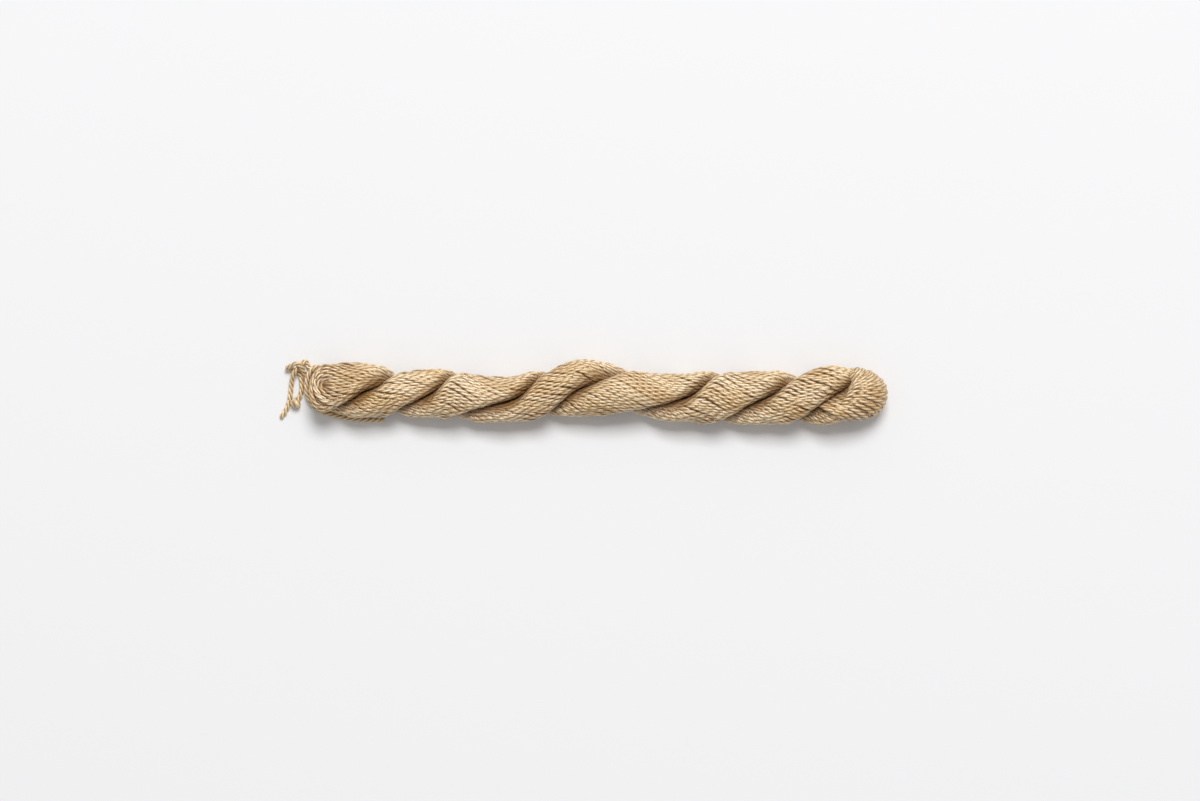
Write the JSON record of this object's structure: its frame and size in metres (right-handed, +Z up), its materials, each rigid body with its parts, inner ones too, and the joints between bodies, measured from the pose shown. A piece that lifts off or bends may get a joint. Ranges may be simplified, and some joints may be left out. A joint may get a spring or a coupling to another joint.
{
  "type": "twisted skein of embroidery thread",
  "caption": "Twisted two-ply skein of tan silk embroidery thread with a knotted tie and one loose end, lying flat.",
  "frame": {"origin": "centre of the skein's underside, on the surface it lies on", "axes": "+X along the skein away from the tied end, +Y across it, +Z up"},
  "size_m": [0.2129, 0.0231, 0.0157],
  "materials": {
    "silk": "satin",
    "tie_silk": "satin"
  },
  "bodies": {
    "root": {"skein": "silk", "tie": "tie_silk", "loose_end": "tie_silk"}
  },
  "joints": []
}
